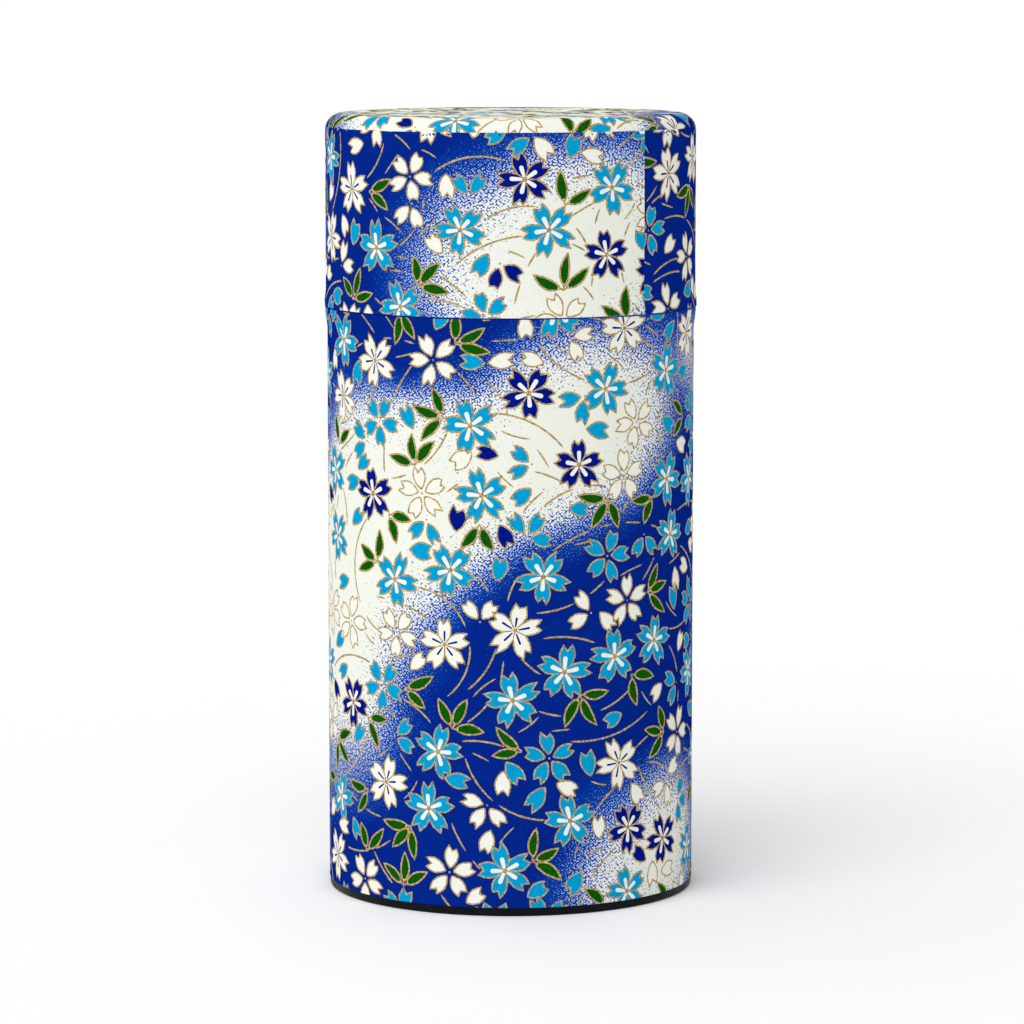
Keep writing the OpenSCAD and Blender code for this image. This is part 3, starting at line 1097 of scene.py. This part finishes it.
GROUND = printed_ground()
INK_MATERIALS = {
    "cyan": ink("ink_cyan", srgb(8, 158, 208), srgb(2, 149, 200)),
    "navy": ink("ink_navy", srgb(4, 26, 134), srgb(2, 18, 118)),
    "white": ink("ink_white", srgb(240, 240, 230), srgb(234, 235, 224)),
    "green": ink("ink_green", srgb(22, 94, 14), srgb(10, 72, 10), grain=2600.0),
    "gold": ink(
        "ink_gold", srgb(214, 184, 114), srgb(128, 106, 62),
        specular=0.1, metallic=0.1, roughness=0.5, grain=2600.0,
    ),
}
TINPLATE = metal("tinplate", (0.62, 0.61, 0.58, 1), 0.38, 0.08, (2600, 2600, 90), 230.0)
BRIGHT_TIN = metal("bright_tinplate", (0.68, 0.67, 0.64, 1), 0.24, 0.07, (2200, 2200, 60), 260.0)
PRESSED_TIN = metal("pressed_tinplate", (0.68, 0.67, 0.64, 1), 0.26, 0.07, (60, 2600, 60), 260.0)
STEEL = metal("washer_steel", (0.72, 0.71, 0.68, 1), 0.42, 0.08, (900, 900, 900), 400.0)
ALUMINIUM = metal("rivet_aluminium", (0.80, 0.80, 0.81, 1), 0.34, 0.08, (1200, 1200, 1200), 500.0)
LACQUER = black_lacquer()
PLASTIC = knob_plastic()


# ---------------- pieces


def paint_nodes(materials):
    """Gives CAD nodes better materials."""
    for node, material in materials.items():
        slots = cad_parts[node].data.materials
        slots.clear()
        slots.append(material)


def papers():
    """The three sheets of paper that cover the tin."""
    strip = wrapped_strip("body_paper_strip", BODY, *body_section())
    finish_piece(strip, "can", GROUND, ["body_paper"])
    strip = wrapped_strip("lid_side_paper_strip", LID, *lid_section())
    finish_piece(strip, "outer_lid_body", GROUND, ["lid_side_paper"])
    disc = pressed_disc("lid_top_paper_disc", TOP)
    finish_piece(disc, "outer_lid_body", GROUND, ["lid_top_paper"])


def sleeve():
    """The raised ring inside the can's mouth, swaged out a little above the joint."""
    low_r, top_r = CAN_R - TIN_T, SLEEVE_TOP_R
    bend_z = JOINT_Z - SWAGE_DROP
    outer = [
        (low_r, SLEEVE_LOW_Z, 0.12), (low_r, bend_z, 2),
        (top_r, bend_z + SWAGE_H, 2), (top_r, SLEEVE_TOP_Z, 0.14),
    ]
    inner = [(r - TIN_T, z, fillet) for r, z, fillet in reversed(outer)]
    piece = turned("inner_sleeve_rolled", rounded_section(outer + inner))
    finish_piece(piece, "can", BRIGHT_TIN, ["inner_sleeve"])


def bead(inner_r, width, z, height, inset, slope, fillet):
    """Corners of a pressed ring from the inside out, for one face of the sheet. inset draws both its
    feet in, and slope is the width of each of its sides."""
    near, far = inner_r + inset, inner_r + width - inset
    return [
        (near, z, fillet), (near + slope, z + height, fillet),
        (far - slope, z + height, fillet), (far, z, fillet),
    ]


def inner_lid():
    """The plug: a pan with a rolled bend at its rim and a ring pressed up from its panel."""
    top, under = PANEL_TOP_Z, PANEL_TOP_Z - TIN_T
    skirt_r = SLEEVE_TOP_R - TIN_T - PLUG_FIT
    pan_r = skirt_r - TIN_T
    bead_r = PLUG_BEAD_SHARE * skirt_r
    rim_top = SLEEVE_TOP_Z + TIN_T
    section = rounded_section([
        (RIVET_R, top, 0), *bead(bead_r, PLUG_BEAD_W, top, PLUG_BEAD_H, 0, 0.3, 0.4),
        (pan_r, top, 0.6), (pan_r, rim_top, 0.45),
        (SLEEVE_TOP_R, rim_top, 0.14), (SLEEVE_TOP_R, SLEEVE_TOP_Z, 0.1),
        (skirt_r, SLEEVE_TOP_Z, 0.05), (skirt_r, PLUG_FOOT_Z, 0.13),
        (pan_r, PLUG_FOOT_Z, 0.13), (pan_r, under, 0.3),
        *reversed(bead(bead_r, PLUG_BEAD_W, under, PLUG_BEAD_H, 0.15, 0.3, 0.25)), (RIVET_R, under, 0),
    ])
    piece = turned("inner_lid_pressed", section)
    finish_piece(piece, "inner_lid_body", PRESSED_TIN, ["inner_lid"])


def base_plate():
    """The black base: a rounded rim folded round the tube's hook, and a recessed panel with a pressed
    ring."""
    top, under = BASE_PANEL_TOP_Z, BASE_PANEL_TOP_Z - BASE_T
    hook_out_r = RIM_R - BASE_T
    leg_out_r = hook_out_r - 2 * TIN_T
    leg_in_r = leg_out_r - BASE_T
    bead_r = BASE_BEAD_SHARE * leg_in_r
    section = rounded_section([
        (0, under, 0), *bead(bead_r, BASE_BEAD_W, under, -BASE_BEAD_H, 0, 0.3, 0.4),
        (leg_in_r, under, 0.4), (leg_in_r, 0, 0.3), (RIM_R, 0, 0.8), (RIM_R, RIM_H, 0.12),
        (hook_out_r, RIM_H, 0.05), (hook_out_r, HOOK_FOOT_Z, 0.05),
        (leg_out_r, HOOK_FOOT_Z, 0.05), (leg_out_r, top, 0.4),
        *reversed(bead(bead_r, BASE_BEAD_W, top, -BASE_BEAD_H, 0.25, 0.25, 0.3)), (0, top, 0),
    ])
    piece = turned("base_plate_pressed", section)
    finish_piece(piece, "can", LACQUER, ["bottom_plate"])


paint_nodes({
    "can_tube": TINPLATE,
    "lid_shell": TINPLATE,
    "inner_lid_knob": PLASTIC,
    "knob_washer": STEEL,
    "knob_rivet": ALUMINIUM,
})
sleeve()
inner_lid()
base_plate()
papers()
print_sheet("body", BODY, "can", 11)
print_sheet("lid", LID, "outer_lid_body", 5)
print_sheet("top", TOP, "outer_lid_body", 8)


# ---------------- studio


# Width of the floor, in metres: so wide that its edge lies at the horizon
FLOOR_W = 400
# Brightness of the sky's left and right sides, and its overall strength
SKY_LEFT, SKY_RIGHT, SKY_STRENGTH = 1.3, 0.7, 0.72


def studio():
    """A white floor under a pale sky, brighter on the left, with one soft light from the upper front."""
    bpy.ops.mesh.primitive_plane_add(size=FLOOR_W, location=(0, 0, 0))
    floor = bpy.context.object
    floor.name = "floor"
    n = Nodes("floor", roughness=0.9, specular=0.0, colour=(0.95, 0.95, 0.95, 1))
    floor.data.materials.append(n.material)
    world = bpy.data.worlds.new("studio")
    bpy.context.scene.world = world
    world.use_nodes = True
    nodes, links = world.node_tree.nodes, world.node_tree.links
    sky = nodes["Background"]
    sky.inputs["Strength"].default_value = SKY_STRENGTH
    across = nodes.new("ShaderNodeSeparateXYZ")
    links.new(nodes.new("ShaderNodeTexCoord").outputs["Generated"], across.inputs["Vector"])
    fade = nodes.new("ShaderNodeMapRange")
    fade.interpolation_type = "SMOOTHSTEP"
    ends = {"From Min": -0.9, "From Max": 0.9, "To Min": SKY_LEFT, "To Max": SKY_RIGHT}
    for name, number in ends.items():
        fade.inputs[name].default_value = number
    links.new(across.outputs["X"], fade.inputs["Value"])
    links.new(fade.outputs["Result"], sky.inputs["Color"])
    key = bpy.data.lights.new("key", "SUN")
    key.energy = 1.3
    key.angle = math.radians(50)
    lamp = bpy.data.objects.new("key", key)
    lamp.rotation_euler = Vector((0.22, 0.55, -0.8)).to_track_quat("-Z", "Y").to_euler()
    bpy.context.scene.collection.objects.link(lamp)
    bpy.context.scene.view_settings.view_transform = "Standard"


def camera():
    """A long lens a metre away, a little above the lid and looking slightly down."""
    data = bpy.data.cameras.new("camera")
    data.sensor_width = 36.0
    data.lens = 165.0
    data.clip_start = 0.05
    eye = bpy.data.objects.new("camera", data)
    eye.location = (0.0003, -0.9775, 0.1948)
    eye.rotation_euler = (math.radians(90 - 6.787), 0, 0)
    bpy.context.scene.collection.objects.link(eye)
    bpy.context.scene.camera = eye


studio()
camera()
